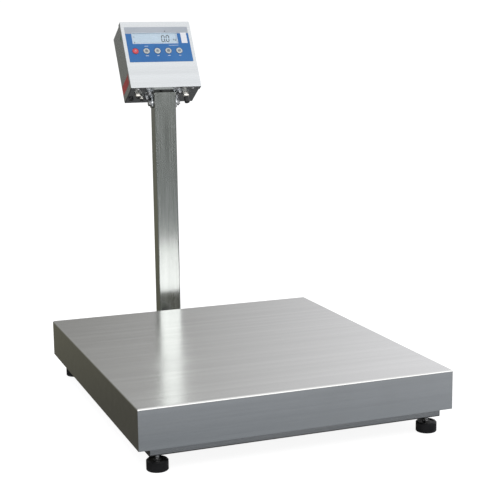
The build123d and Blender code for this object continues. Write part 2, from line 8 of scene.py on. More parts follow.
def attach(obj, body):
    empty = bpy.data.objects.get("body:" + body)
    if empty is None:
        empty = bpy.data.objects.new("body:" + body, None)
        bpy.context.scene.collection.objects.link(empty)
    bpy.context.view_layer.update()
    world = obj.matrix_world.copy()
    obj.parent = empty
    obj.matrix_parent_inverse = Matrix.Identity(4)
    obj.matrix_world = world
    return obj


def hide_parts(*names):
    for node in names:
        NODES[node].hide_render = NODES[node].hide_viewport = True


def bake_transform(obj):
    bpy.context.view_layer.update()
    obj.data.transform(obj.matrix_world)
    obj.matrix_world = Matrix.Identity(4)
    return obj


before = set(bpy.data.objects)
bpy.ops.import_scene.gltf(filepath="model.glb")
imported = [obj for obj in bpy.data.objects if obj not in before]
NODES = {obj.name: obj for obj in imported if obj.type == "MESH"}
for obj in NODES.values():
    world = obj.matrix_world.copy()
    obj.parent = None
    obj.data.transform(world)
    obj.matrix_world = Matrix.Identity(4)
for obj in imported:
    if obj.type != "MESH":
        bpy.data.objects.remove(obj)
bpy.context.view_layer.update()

MM = 0.001
YS = 538.321                      # the row frame's shift from the pan's front edge
C30, S30 = math.cos(math.radians(30)), 0.5
HEAD_Y, HEAD_Z = 899.2, 719.4
HEAD = Matrix.Translation(((0, (HEAD_Y - YS) * MM, HEAD_Z * MM))) @ Matrix.Rotation(math.radians(-30), 4, "X") @ Matrix.Scale(MM, 4)
ROW = Matrix.Translation((0, -YS * MM, 0)) @ Matrix.Scale(MM, 4)     # millimetres from the pan's front edge
scene = bpy.context.scene
rng = random.Random(7)


# ------------------------------------------------------------------ node helpers
class Tree:
    def __init__(self, tree):
        self.t = tree

    def add(self, kind, **kw):
        n = self.t.nodes.new(kind)
        for k, v in kw.items():
            setattr(n, k, v)
        return n

    def link(self, a, b):
        self.t.links.new(a, b)

    def put(self, socket, value):
        if isinstance(value, bpy.types.NodeSocket):
            self.link(value, socket)
        else:
            socket.default_value = value

    def math(self, op, a, b=None, c=None, clamp=False):
        n = self.add("ShaderNodeMath", operation=op, use_clamp=clamp)
        for i, v in enumerate((a, b, c)):
            if v is not None:
                self.put(n.inputs[i], v)
        return n.outputs[0]

    def range(self, v, a, b, c=0.0, d=1.0, smooth=True):
        n = self.add("ShaderNodeMapRange", interpolation_type="SMOOTHSTEP" if smooth else "LINEAR")
        self.put(n.inputs[0], v)
        for i, x in enumerate((a, b, c, d)):
            self.put(n.inputs[i + 1], x)
        return n.outputs[0]

    def mix(self, f, a, b):
        n = self.add("ShaderNodeMix", data_type="RGBA")
        self.put(n.inputs["Factor"], f)
        for s, v in (("A", a), ("B", b)):
            sock = [i for i in n.inputs if i.name == s and i.type == "RGBA"][0]
            self.put(sock, v if isinstance(v, bpy.types.NodeSocket) else (*v, 1.0)[:4])
        return [o for o in n.outputs if o.type == "RGBA"][0]

    def ramp(self, f, stops):
        n = self.add("ShaderNodeValToRGB")
        r = n.color_ramp
        while len(r.elements) < len(stops):
            r.elements.new(0.5)
        for e, (p, c) in zip(r.elements, stops):
            e.position = p
            e.color = (*c, 1.0)[:4] if hasattr(c, "__len__") else (c, c, c, 1.0)
        self.put(n.inputs[0], f)
        return n.outputs[0]

    def noise(self, vec, scale, detail=3.0, rough=0.5):
        n = self.add("ShaderNodeTexNoise")
        self.link(vec, n.inputs["Vector"])
        n.inputs["Scale"].default_value = scale
        n.inputs["Detail"].default_value = detail
        n.inputs["Roughness"].default_value = rough
        return n.outputs["Fac"]

    def coords(self, scale=(1, 1, 1), rot=(0, 0, 0)):
        c = self.add("ShaderNodeTexCoord")
        m = self.add("ShaderNodeMapping")
        m.inputs["Scale"].default_value = scale
        m.inputs["Rotation"].default_value = rot
        self.link(c.outputs["Object"], m.inputs["Vector"])
        return m.outputs["Vector"]

    def bump(self, height, strength, distance, normal=None):
        n = self.add("ShaderNodeBump")
        n.inputs["Strength"].default_value = strength
        n.inputs["Distance"].default_value = distance
        self.link(height, n.inputs["Height"])
        if normal is not None:
            self.link(normal, n.inputs["Normal"])
        return n.outputs["Normal"]


def new_mat(name):
    m = bpy.data.materials.new(name)
    m.use_nodes = True
    m.node_tree.nodes.clear()
    t = Tree(m.node_tree)
    out = t.add("ShaderNodeOutputMaterial")
    p = t.add("ShaderNodeBsdfPrincipled")
    t.link(p.outputs[0], out.inputs[0])
    return m, t, p


def steel(name, base=(0.62, 0.62, 0.62), rough=0.22, spread=0.06, along="X", aniso=0.6, streak=0.08, bump=0.1, smudge=0.05):
    """Brushed sheet: fine lines along one row axis, faint wide streaks and handling marks."""
    m, t, p = new_mat(name)
    fine_s, wide_s = {"X": ((6, 900, 900), (0.7, 60, 60)), "Y": ((900, 6, 900), (60, 0.7, 60)), "Z": ((900, 900, 6), (60, 60, 0.7))}[along]
    fine = t.noise(t.coords(fine_s), 1.0, 3.0)
    wide = t.noise(t.coords(wide_s), 1.0, 4.0)
    cloud = t.noise(t.coords(), 7.0, 5.0, 0.6)
    dark = tuple(c * (1 - streak) for c in base)
    lite = tuple(min(1.0, c * (1 + streak)) for c in base)
    tone = t.math("ADD", t.math("MULTIPLY", fine, 0.45), t.math("MULTIPLY", wide, 0.55))
    t.link(t.mix(t.range(tone, 0.3, 0.7), dark, lite), p.inputs["Base Color"])
    p.inputs["Metallic"].default_value = 1.0
    r = t.math("ADD", t.range(fine, 0.3, 0.7, rough - spread, rough + spread), t.range(cloud, 0.45, 0.75, 0.0, smudge))
    t.link(r, p.inputs["Roughness"])
    p.inputs["Anisotropic"].default_value = aniso
    # tangent along the brushing, or along Y on faces that look along it
    g = t.add("ShaderNodeTexCoord")
    sep = t.add("ShaderNodeSeparateXYZ")
    t.link(g.outputs["Normal"], sep.inputs[0])
    axis = {"X": 0, "Y": 1, "Z": 2}[along]
    facing = t.math("GREATER_THAN", t.math("ABSOLUTE", sep.outputs[axis]), 0.75)
    main = {"X": (1, 0, 0), "Y": (0, 1, 0), "Z": (0, 0, 1)}[along]
    other = (0, 1, 0) if along != "Y" else (1, 0, 0)
    v = t.add("ShaderNodeMix", data_type="VECTOR")
    t.link(facing, v.inputs[0])
    va = [i for i in v.inputs if i.name == "A" and i.type == "VECTOR"][0]
    vb = [i for i in v.inputs if i.name == "B" and i.type == "VECTOR"][0]
    va.default_value, vb.default_value = main, other
    vt = t.add("ShaderNodeVectorTransform", vector_type="VECTOR", convert_from="OBJECT", convert_to="WORLD")
    t.link([o for o in v.outputs if o.type == "VECTOR"][0], vt.inputs[0])
    t.link(vt.outputs[0], p.inputs["Tangent"])
    n = t.bump(fine, bump, 0.00004)
    n = t.bump(cloud, 0.25, 0.0006, n)
    t.link(n, p.inputs["Normal"])
    return m


def metal(name, base, rough=0.3, scale=60.0, spread=0.08, var=0.12, bump=0.15):
    m, t, p = new_mat(name)
    n1 = t.noise(t.coords(), scale, 5.0, 0.6)
    n2 = t.noise(t.coords(), scale * 9, 3.0)
    t.link(t.mix(t.range(n1, 0.3, 0.7), tuple(c * (1 - var) for c in base), tuple(min(1, c * (1 + var)) for c in base)), p.inputs["Base Color"])
    p.inputs["Metallic"].default_value = 1.0
    t.link(t.range(n1, 0.3, 0.7, rough - spread, rough + spread), p.inputs["Roughness"])
    t.link(t.bump(n2, bump, 0.00008), p.inputs["Normal"])
    return m


def plastic(name, base, rough=0.45, scale=900.0, var=0.15, bump=0.2, depth=0.00008, spec=0.5, coat=0.0):
    m, t, p = new_mat(name)
    n1 = t.noise(t.coords(), 22.0, 4.0)
    n2 = t.noise(t.coords(), scale, 2.0)
    t.link(t.mix(t.range(n1, 0.3, 0.7), tuple(c * (1 - var) for c in base), tuple(min(1, c * (1 + var)) for c in base)), p.inputs["Base Color"])
    t.link(t.range(n1, 0.3, 0.7, rough - 0.07, rough + 0.07), p.inputs["Roughness"])
    p.inputs["Specular IOR Level"].default_value = spec
    p.inputs["Coat Weight"].default_value = coat
    p.inputs["Coat Roughness"].default_value = 0.12
    t.link(t.bump(n2, bump, depth), p.inputs["Normal"])
    return m


def clear(name, base, alpha=0.12, rough=0.06):
    m, t, p = new_mat(name)
    n1 = t.noise(t.coords(), 30.0, 4.0)
    t.link(t.mix(n1, tuple(c * 0.96 for c in base), base), p.inputs["Base Color"])
    t.link(t.range(n1, 0.3, 0.7, rough * 0.7, rough * 1.3), p.inputs["Roughness"])
    p.inputs["Alpha"].default_value = alpha
    p.inputs["IOR"].default_value = 1.5
    m.blend_method = "BLEND"
    return m


# ------------------------------------------------------------------ materials
M = {}
M["pan"] = steel("steel_pan", (0.80, 0.80, 0.79), 0.17, 0.04, "X", 0.55, 0.05, 0.08, 0.05)
M["head_steel"] = steel("steel_head", (0.72, 0.745, 0.765), 0.25, 0.05, "X", 0.5, 0.05, 0.1, 0.05)
M["column"] = steel("steel_column", (0.58, 0.60, 0.585), 0.16, 0.05, "Z", 0.5, 0.07, 0.1, 0.05)
M["tube_x"] = steel("steel_tube_x", (0.58, 0.58, 0.585), 0.30, 0.06, "X", 0.4, 0.08, 0.12)
M["tube_y"] = steel("steel_tube_y", (0.58, 0.58, 0.585), 0.30, 0.06, "Y", 0.4, 0.08, 0.12)
M["bolt"] = metal("steel_fastener", (0.62, 0.62, 0.63), 0.26, 160.0)
M["weld"] = metal("steel_weld", (0.52, 0.51, 0.50), 0.34, 240.0, 0.12, 0.2, 0.4)
M["thread"] = metal("steel_thread", (0.60, 0.60, 0.61), 0.30, 200.0)
M["alu"] = metal("aluminium_block", (0.78, 0.79, 0.80), 0.35, 90.0)
M["nickel"] = metal("nickel_gland", (0.70, 0.68, 0.64), 0.20, 120.0, 0.06, 0.1, 0.08)
M["black"] = plastic("plastic_black", (0.018, 0.018, 0.019), 0.42)
M["rubber"] = plastic("rubber_black", (0.022, 0.022, 0.023), 0.62, 700.0, 0.2, 0.35, 0.00012, 0.35)
M["foot"] = plastic("foot_black", (0.006, 0.006, 0.007), 0.40, 500.0, 0.25, 0.25, 0.0001, 0.3)
M["cable"] = plastic("cable_black", (0.02, 0.02, 0.022), 0.5, 400.0)
M["lcd_back"] = plastic("lcd_white", (0.80, 0.82, 0.84), 0.5)
M["ring"] = plastic("key_silver", (0.55, 0.58, 0.58), 0.30, 500.0, 0.08, 0.1, 0.00004, 0.6)
M["ring_mid"] = plastic("key_centre", (0.30, 0.33, 0.36), 0.35, 500.0, 0.12, 0.1, 0.00004)
# dark blue for the grey keys' dome rims and for the rings round their feet
M["ring_dark"] = plastic("key_rim_dark_blue", (0.015, 0.035, 0.10), 0.4, 500.0, 0.1, 0.1, 0.00004)
M["red"] = plastic("key_red", (0.62, 0.055, 0.075), 0.30, 500.0, 0.10, 0.1, 0.00004, 0.6)
# a darker copy of the key red for the power key's rim: painted shade where the dome turns away from the light
M["red_dark"] = plastic("key_red_rim_painted_shade", (0.36, 0.02, 0.04), 0.35, 500.0, 0.1, 0.1, 0.00004)
M["ink"] = plastic("print_black", (0.012, 0.013, 0.015), 0.35, 400.0, 0.2, 0.05, 0.00002)
M["ink_white"] = plastic("print_white", (0.75, 0.80, 0.86), 0.4, 400.0, 0.05, 0.05, 0.00002)
M["label"] = plastic("label_white", (0.80, 0.81, 0.86), 0.5, 1500.0, 0.04, 0.3, 0.00006)
M["label_red"] = plastic("label_red", (0.26, 0.030, 0.028), 0.40, 1500.0, 0.22, 0.3, 0.00006)
M["label_green"] = plastic("seal_green", (0.010, 0.13, 0.045), 0.35, 1500.0, 0.2, 0.3, 0.00006)
M["label_cream"] = plastic("label_cream", (0.30, 0.24, 0.16), 0.5, 1500.0, 0.1, 0.3, 0.00006)
M["board"] = plastic("board_green", (0.02, 0.16, 0.07), 0.35, 300.0, 0.25, 0.3)
M["window"] = clear("window_clear", (0.70, 0.80, 0.90), 0.06, 0.05)
M["vial"] = clear("vial_clear", (0.62, 0.92, 0.30), 0.35, 0.05)
M["fluid"] = plastic("level_fluid", (0.42, 0.70, 0.12), 0.15, 300.0, 0.06, 0.02, 0.00002, 0.5, 0.3)

# the display's lit face: pale blue, a little uneven
m, t, p = new_mat("lcd_face")
n1 = t.noise(t.coords((9, 9, 9)), 1.0, 3.0)
col = t.mix(t.range(n1, 0.35, 0.65), (0.50, 0.61, 0.70), (0.54, 0.65, 0.74))
t.link(col, p.inputs["Base Color"])
t.link(col, p.inputs["Emission Color"])
p.inputs["Emission Strength"].default_value = 0.10
t.link(t.range(t.noise(t.coords(), 60.0), 0.3, 0.7, 0.22, 0.34), p.inputs["Roughness"])
M["lcd"] = m

# printed overlay: blue field, grey band along its top, in the head's own height coordinate
m, t, p = new_mat("overlay_print")
c = t.add("ShaderNodeTexCoord")
d = t.add("ShaderNodeVectorMath", operation="DOT_PRODUCT")
t.link(c.outputs["Object"], d.inputs[0])
d.inputs[1].default_value = (0.0, S30, C30)
zl = t.math("SUBTRACT", d.outputs["Value"], ((HEAD_Y - YS) * S30 + HEAD_Z * C30) * MM)
band = t.range(zl, 0.1618, 0.1622, 0.0, 1.0, False)
cloud = t.noise(t.coords(), 14.0, 3.0)
blue = t.mix(t.range(cloud, 0.3, 0.7), (0.036, 0.150, 0.40), (0.046, 0.172, 0.43))
grey = t.mix(t.range(cloud, 0.3, 0.7), (0.40, 0.435, 0.485), (0.44, 0.475, 0.525))
t.link(t.mix(band, blue, grey), p.inputs["Base Color"])
t.link(t.range(cloud, 0.3, 0.7, 0.40, 0.50), p.inputs["Roughness"])
p.inputs["Specular IOR Level"].default_value = 0.3
t.link(t.bump(t.noise(t.coords(), 1400.0, 2.0), 0.15, 0.00004), p.inputs["Normal"])
M["overlay"] = m

NODE_MAT = {
    "weighing_pan": "pan", "pan_stiffeners": "tube_x",
    "base_front_rail": "tube_x", "base_rear_rail": "tube_x", "base_left_rail": "tube_y", "base_right_rail": "tube_y",
    "base_centre_beams": "tube_y", "column_bracket": "tube_y", "column_flange": "tube_x", "column_tube": "column", "column_cap": "column",
    "receiver_side_tubes": "tube_y", "receiver_cross_tubes": "tube_x", "receiver_plate": "tube_x", "load_cell_plate": "tube_x",
    "load_cell_lower_spacer": "tube_x", "load_cell_upper_spacer": "tube_x", "load_cell": "alu", "load_cell_fixed_bolts": "bolt",
    "load_cell_live_bolts": "bolt", "foot_bushes": "bolt", "foot_locknuts": "bolt", "column_flange_bolts": "bolt", "pivot_bolt": "bolt",
    "overload_stops": "bolt", "cover_screws": "bolt", "tilt_bracket_bolts": "bolt", "board_standoffs": "bolt", "friction_washers": "black",
    "tube_end_plugs": "black", "column_grommet": "rubber", "pan_pads": "rubber", "housing_gasket": "rubber", "load_cell_cable": "cable",
    "cable_link": "cable", "gland_seals": "black", "cable_glands": "nickel", "keypad_overlay": "overlay", "display_window": "window",
    "lcd_module": "lcd", "keypad_board": "board", "main_board": "board", "front_cover": "head_steel", "rear_housing": "head_steel",
    "tilt_bracket": "head_steel", "spirit_level_housing": "black", "spirit_level_vial": "vial",
}
for n, o in NODES.items():
    key = NODE_MAT.get(n) or ("foot" if n.endswith("_pad") else "thread" if n.endswith("_stud") else "ring")
    if n == "key_power":
        key = "red"
    o.data.materials.clear()
    o.data.materials.append(M[key])


# ------------------------------------------------------------------ mesh helpers
def make(name, verts, faces, mat, body, matrix=ROW, smooth=False, mats=None, face_mats=None):
    me = bpy.data.meshes.new(name)
    me.from_pydata([tuple(matrix @ Vector(v)) for v in verts], [], faces)
    for k in (mats or [mat]):
        me.materials.append(M[k])
    if face_mats:
        me.polygons.foreach_set("material_index", face_mats)
    if smooth:
        me.polygons.foreach_set("use_smooth", [True] * len(me.polygons))
    bm = bmesh.new()
    bm.from_mesh(me)
    bmesh.ops.remove_doubles(bm, verts=bm.verts, dist=1e-7)
    bmesh.ops.recalc_face_normals(bm, faces=bm.faces)
    bm.to_mesh(me)
    bm.free()
    me.update()
    o = bpy.data.objects.new(name, me)
    scene.collection.objects.link(o)
    if body:
        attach(o, body)
    return o


class Mesh:
    """Collects verts, faces and per-face material numbers in millimetres."""
    def __init__(self):
        self.v, self.f, self.m = [], [], []

    def add(self, verts, faces, mat=0, matrix=None):
        k = len(self.v)
        self.v += [tuple(matrix @ Vector(p)) if matrix else tuple(p) for p in verts]
        self.f += [tuple(i + k for i in f) for f in faces]
        self.m += [mat] * len(faces)

    def lathe(self, prof, n=48, mat=0, matrix=None, mats=None):
        """prof: (radius, height) from one end to the other, about Z."""
        verts, faces, fm = [], [], []
        rows = []
        for r, h in prof:
            if r < 1e-6:
                rows.append([len(verts)])
                verts.append((0, 0, h))
            else:
                rows.append(list(range(len(verts), len(verts) + n)))
                verts += [(r * math.cos(2 * math.pi * i / n), r * math.sin(2 * math.pi * i / n), h) for i in range(n)]
        for j, (a, b) in enumerate(zip(rows, rows[1:])):
            mm = mats[j] if mats else mat
            for i in range(n):
                q = (i + 1) % n
                if len(a) == 1 and len(b) == 1:
                    continue
                if len(a) == 1:
                    faces.append((a[0], b[q], b[i]))
                elif len(b) == 1:
                    faces.append((a[i], a[q], b[0]))
                else:
                    faces.append((a[i], a[q], b[q], b[i]))
                fm.append(mm)
        k = len(self.v)
        self.v += [tuple(matrix @ Vector(p)) if matrix else p for p in verts]
        self.f += [tuple(i + k for i in f) for f in faces]
        self.m += fm

    def prism(self, poly, h0, h1, mat=0, matrix=None):
        """poly in XY, extruded along Z."""
        n = len(poly)
        verts = [(x, y, h0) for x, y in poly] + [(x, y, h1) for x, y in poly]
        faces = [tuple(range(n - 1, -1, -1)), tuple(range(n, 2 * n))] + [(i, (i + 1) % n, (i + 1) % n + n, i + n) for i in range(n)]
        self.add(verts, faces, mat, matrix)

    def tube(self, pts, r, n=10, mat=0, radii=None, matrix=None):
        pts = [Vector(p) for p in pts]
        prev = None
        rows = []
        for i, p in enumerate(pts):
            d = (pts[min(i + 1, len(pts) - 1)] - pts[max(i - 1, 0)]).normalized()
            if prev is None:
                side = d.orthogonal().normalized()
            else:
                side = (prev - d * prev.dot(d)).normalized()
            prev = side
            up = d.cross(side)
            rr = radii[i] if radii else r
            rows.append([tuple(p + (side * math.cos(2 * math.pi * k / n) + up * math.sin(2 * math.pi * k / n)) * rr) for k in range(n)])
        verts = [v for row in rows for v in row]
        faces = [(j * n + k, j * n + (k + 1) % n, (j + 1) * n + (k + 1) % n, (j + 1) * n + k) for j in range(len(rows) - 1) for k in range(n)]
        faces += [tuple(range(n - 1, -1, -1)), tuple(range((len(rows) - 1) * n, len(rows) * n))]
        self.add(verts, faces, mat, matrix)

    def make(self, name, mats, body, matrix=ROW, smooth=False):
        return make(name, self.v, self.f, None, body, matrix, smooth, mats, self.m)


def rrect(w, h, r, n=6, cx=0.0, cy=0.0):
    pts = []
    for sx, sy, a0 in ((1, 1, 0), (-1, 1, 90), (-1, -1, 180), (1, -1, 270)):
        for i in range(n + 1):
            a = math.radians(a0 + 90 * i / n)
            pts.append((cx + sx * (w / 2 - r) + r * math.cos(a), cy + sy * (h / 2 - r) + r * math.sin(a)))
    return pts


def hexagon(af, rot=0.0):
    return [(af / math.sqrt(3) * math.cos(math.radians(60 * i + rot)), af / math.sqrt(3) * math.sin(math.radians(60 * i + rot))) for i in range(6)]


FACE = HEAD @ Matrix.Rotation(math.radians(90), 4, "X")      # local x right, y up the face, z out of the face


def auto_smooth(o, angle=35):
    o.data.polygons.foreach_set("use_smooth", [True] * len(o.data.polygons))
    mod = o.modifiers.new("edges", "EDGE_SPLIT")
    mod.split_angle = math.radians(angle)
    return o


# ------------------------------------------------------------------ levelling feet: threaded studs
PITCH = 1.25
for key, sx, fy in (("front_left", -1, 32.0), ("front_right", 1, 32.0), ("rear_left", -1, 768.0), ("rear_right", 1, 768.0)):
    ms = Mesh()
    n = 20
    z0, z1 = 30.6, 58.7
    verts = []
    turns = (z1 - z0) / PITCH
    steps = int(turns * n)
    prof = ((4.0, 0.0), (4.0, 0.12), (3.32, 0.5), (3.32, 0.62))
    for i in range(steps + 1):
        a = 2 * math.pi * i / n
        z = z0 + PITCH * i / n
        fade = min(1.0, i / n, (steps - i) / n)
        for r, f in prof:
            rr = 3.32 + (r - 3.32) * max(0.0, fade)
            verts.append((rr * math.cos(a), rr * math.sin(a), z + f * PITCH))
    faces = []
    k = len(prof)
    for i in range(steps):
        for j in range(k - 1):
            faces.append((i * k + j, (i + 1) * k + j, (i + 1) * k + j + 1, i * k + j + 1))
        if i + n < steps:
            faces.append((i * k + k - 1, (i + 1) * k + k - 1, (i + 1 + n) * k, (i + n) * k))
    ms.add(verts, faces)
    ms.lathe([(0, 6.2), (3.98, 6.2), (3.98, 24.8), (3.3, 25.0), (3.3, z0 - 0.6), (3.4, z0 + 0.5), (3.3, z0 + 1.5), (3.3, z1 - 1), (3.2, z1 + 0.3), (2.7, z1 + 0.75), (0, z1 + 0.8)], 32)
    ms.prism(rrect(7.6, 6.8, 1.4), 24.9, 30.0)
    o = ms.make("stud_%s" % key, ["thread"], "foot_%s_stud" % key, ROW @ Matrix.Translation((sx * 303.5, fy, 0)))
    auto_smooth(o, 50)
    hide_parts("foot_%s_stud" % key)

# ------------------------------------------------------------------ welds
def bead(name, path, r, body, step=1.6, closed=True, matrix=ROW):
    pts = []
    ring = list(path) + ([path[0]] if closed else [])
    for a, b in zip(ring, ring[1:]):
        a, b = Vector(a), Vector(b)
        k = max(1, int((b - a).length / step))
        pts += [a.lerp(b, i / k) for i in range(k)]
    pts.append(Vector(ring[-1]))
    radii = [r * (0.86 + 0.16 * math.sin(i * 2.1) + rng.uniform(-0.05, 0.05)) for i in range(len(pts))]
    ms = Mesh()
    ms.tube([tuple(p) for p in pts], r, 8, 0, radii)
    o = ms.make(name, ["weld"], body, matrix, True)
    return o


cy = 935.0
bead("weld_column_foot", [(x, cy + y, 81.2) for x, y in rrect(60.8, 40.8, 4.2)], 1.7, "base")
for sx in (-1, 1):
    for nm, y in (("front", 52.0), ("rear", 748.0)):
        for cx, tag in ((303.5, "side"), (70.0, "beam")):
            x0, x1 = sx * cx - 19.0, sx * cx + 19.0
            bead("weld_%s_%s_%s" % (tag, nm, "l" if sx < 0 else "r"), [(x0, y, 36.1), (x1, y, 36.1)], 1.3, "base", closed=False)
bead("weld_bracket", [(-54, 788.2, 36.3), (54, 788.2, 36.3)], 1.3, "base", closed=False)
bead("weld_bracket_top", [(-54, 788.2, 75.4), (54, 788.2, 75.4)], 1.4, "base", closed=False)

# ------------------------------------------------------------------ display
ms = Mesh()


def seg_digit(ms, x, z, w, h, th, on):
    """Seven-segment figure leaning a little, as prisms on the display's face."""
    g = 0.28
    hw_, hh = w / 2, h / 2
    def bar(ax, ay, bx, by):
        d = Vector((bx - ax, by - ay)).normalized()
        nrm = Vector((-d.y, d.x)) * th / 2
        a, b = Vector((ax, ay)), Vector((bx, by))
        tip = th / 2
        poly = [a, a + d * tip + nrm, b - d * tip + nrm, b, b - d * tip - nrm, a + d * tip - nrm]
        out = [(x + q.x + 0.06 * q.y, z + q.y) for q in poly]
        ms.prism(out, 0.0, 0.05)
    ax = hw_ - th / 2
    ay = hh - th / 2
    segs = {"a": (-ax + g, ay, ax - g, ay), "b": (ax, ay - g, ax, g), "c": (ax, -g, ax, -ay + g), "d": (-ax + g, -ay, ax - g, -ay),
            "e": (-ax, -g, -ax, -ay + g), "f": (-ax, ay - g, -ax, g), "g": (-ax + g, 0, ax - g, 0)}
    for s in on:
        bar(*segs[s])


LCDF = FACE @ Matrix.Translation((0, 0, -1.78))
seg_digit(ms, 15.4, 147.4, 9.6, 21.0, 2.3, "abcdef")
seg_digit(ms, 28.2, 147.4, 9.6, 21.0, 2.3, "abcdef")
ms.prism([(21.1 + 1.1 * math.cos(a), 137.7 + 1.1 * math.sin(a)) for a in [i * math.pi / 6 for i in range(12)]], 0, 0.05)
# unit sign and small state signs
def strip(ms, pts, w, h0=0.0, h1=0.05, mat=0):
    for (ax, ay), (bx, by) in zip(pts, pts[1:]):
        a, b = Vector((ax, ay)), Vector((bx, by))
        d = (b - a).normalized()
        nr = Vector((-d.y, d.x)) * w / 2
        a, b = a - d * w * 0.4, b + d * w * 0.4
        ms.prism([tuple(a + nr), tuple(a - nr), tuple(b - nr), tuple(b + nr)], h0, h1, mat)


strip(ms, [(44.2, 147.2), (44.2, 141.6)], 0.75)
strip(ms, [(46.6, 145.4), (44.6, 143.2), (46.8, 141.6)], 0.7)
ring = [(49.6 + 1.3 * math.cos(a), 143.6 + 1.4 * math.sin(a)) for a in [i * math.pi / 6 for i in range(13)]]
strip(ms, ring, 0.65)
strip(ms, [(51.0, 145.2), (51.0, 140.6), (48.6, 140.2)], 0.65)
ms.prism([(-66.8, 136.0), (-63.6, 136.0), (-65.2, 138.8)], 0, 0.05)
strip(ms, [(-67.0, 134.4), (-63.4, 134.4)], 0.6)
strip(ms, [(-67.2, 151.4), (-62.6, 151.4)], 0.5)
strip(ms, [(-66.4, 155.0), (-63.4, 155.0)], 0.5)
o = ms.make("display_figures", ["ink"], "head", LCDF)

# the display stack: glass face and white carrier stand for the CAD module
ms = Mesh()
cx, cz_ = -8.0, 148.0
ms.prism(rrect(138, 42, 1.2, 4, cx, cz_), -3.4, -1.8, 0)
ms.prism(rrect(142, 46, 2.0, 4, cx, cz_), -9.8, -3.4, 1)
for s in (-1, 1):
    ms.prism(rrect(130, 0.8, 0.2, 2, cx, cz_ + s * 18.6), -1.8, -1.72, 1)
o = ms.make("display_stack", ["lcd", "lcd_back"], "head", FACE)
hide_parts("lcd_module")

# ------------------------------------------------------------------ keys
def key(name, kx, body, cap, edge, mid):
    ms = Mesh()
    at = Matrix.Translation((kx, 109.0, 0))
    if cap == "red":
        # the rim takes the darker red, painted shade along the dome's edge; the top stays plain red
        prof = [(0, -3.0), (7.2, -3.0), (7.2, 0.62), (8.3, 0.66), (8.4, 0.8), (8.25, 1.0), (7.5, 1.16), (6.8, 1.10), (6.4, 1.12), (4.5, 1.24), (2.0, 1.29), (0, 1.3)]
        mats = [1, 1, 1, 1, 1, 1, 0, 0, 0, 0, 0]
    else:
        # grey keys: dark blue on the dome's rim, silver on its shoulder, darker grey in the dished centre
        prof = [(0, -3.0), (7.2, -3.0), (7.2, 0.62), (8.3, 0.66), (8.4, 0.8), (8.2, 1.0), (7.6, 1.18), (6.6, 1.28), (5.6, 1.28), (4.9, 1.12), (4.4, 1.02), (3.0, 1.05), (0, 1.08)]
        mats = [1, 1, 1, 1, 1, 0, 0, 0, 0, 2, 2, 2]
    ms.lathe(prof, 56, 0, at, mats)
    z0, z1 = (1.2, 1.3) if cap == "red" else (1.02, 1.2)
    kind = name.split("_")[1]
    if kind == "power":
        arc = [(kx + 2.3 * math.sin(a), 109 + 2.3 * math.cos(a)) for a in [math.radians(40 + 28 * i) for i in range(11)]]
        strip(ms, arc, 0.6, z0, z1, 4)
        strip(ms, [(kx, 109.6), (kx, 112.3)], 0.6, z0, z1, 4)
    elif kind == "zero":
        arc = [(kx + 1.5 * math.sin(a), 109 + 2.0 * math.cos(a)) for a in [math.radians(30 * i) for i in range(13)]]
        strip(ms, arc, 0.6, z0, z1, 3)
        strip(ms, [(kx - 3.6, 109), (kx - 2.2, 109)], 0.5, z0, z1, 3)
        strip(ms, [(kx + 3.6, 109), (kx + 2.2, 109)], 0.5, z0, z1, 3)
    elif kind == "tare":
        strip(ms, [(kx - 2.2, 111), (kx + 2.2, 111)], 0.7, z0, z1, 3)
        strip(ms, [(kx, 111), (kx, 106.6)], 0.7, z0, z1, 3)
    elif kind == "print":
        strip(ms, [(kx - 2.6, 107.6), (kx - 2.6, 110.2), (kx + 2.6, 110.2), (kx + 2.6, 107.6), (kx - 2.6, 107.6)], 0.6, z0, z1, 3)
        strip(ms, [(kx - 1.5, 111.6), (kx + 1.5, 111.6)], 0.7, z0, z1, 3)
    else:
        strip(ms, [(kx + 2.6, 111.4), (kx + 2.6, 108.4), (kx - 1.2, 108.4)], 0.6, z0, z1, 3)
        ms.prism([(kx - 1.0, 109.9), (kx - 1.0, 106.9), (kx - 3.2, 108.4)], z0, z1, 3)
    o = ms.make("cap_%s" % kind, [cap, edge, mid, "ink", "ink_white"], body, FACE)
    auto_smooth(o, 40)
    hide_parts(name)
    return o


for name, kx in zip(("key_power", "key_zero", "key_tare", "key_print", "key_enter"), (-68.0, -37.5, -7.0, 23.5, 54.0)):
    if name == "key_power":
        key(name, kx, name, "red", "red_dark", "red")
    else:
        key(name, kx, name, "ring", "ring_dark", "ring_mid")

# dark blue rings round the keys at the foot of their domes, small white legends under them, border line of the overlay
ms = Mesh()
for i, kx in enumerate((-68.0, -37.5, -7.0, 23.5, 54.0)):
    n = 48
    ra, rb = 8.75, 9.5
    verts = []
    for k in range(n):
        a = 2 * math.pi * k / n
        for r, z in ((ra, 0.4), (ra, 0.45), (rb, 0.45), (rb, 0.4)):
            verts.append((kx + r * math.cos(a), 109 + r * math.sin(a), z))
    faces = [(k * 4 + j, ((k + 1) % n) * 4 + j, ((k + 1) % n) * 4 + (j + 1) % 4, k * 4 + (j + 1) % 4) for k in range(n) for j in range(4)]
    ms.add(verts, faces, 0)
    if i:
        w = (3.6, 2.2, 3.0, 2.6)[i - 1]
        strip(ms, [(kx - w, 94.6), (kx + w, 94.6)], 1.3, 0.4, 0.46, 1)
strip(ms, [(-40.5, 123.6), (-31.0, 123.6)], 1.0, 0.4, 0.46, 1)
strip(ms, [(28.0, 125.4), (54.0, 125.4)], 0.9, 0.4, 0.46, 1)
ms.prism([(22.9 + 1.5 * math.cos(a), 168.6 + 1.5 * math.sin(a)) for a in [i * math.pi / 8 for i in range(16)]], 0.4, 0.46, 2)
o = ms.make("overlay_marks", ["ring_dark", "ink_white", "ink"], "head", FACE)

# bare paper label beside the display
ms = Mesh()
ms.prism(rrect(16.5, 32.0, 0.6, 4, 73.8, 147.8), 0.4, 0.58)
o = ms.make("paper_label", ["label"], "head", FACE)

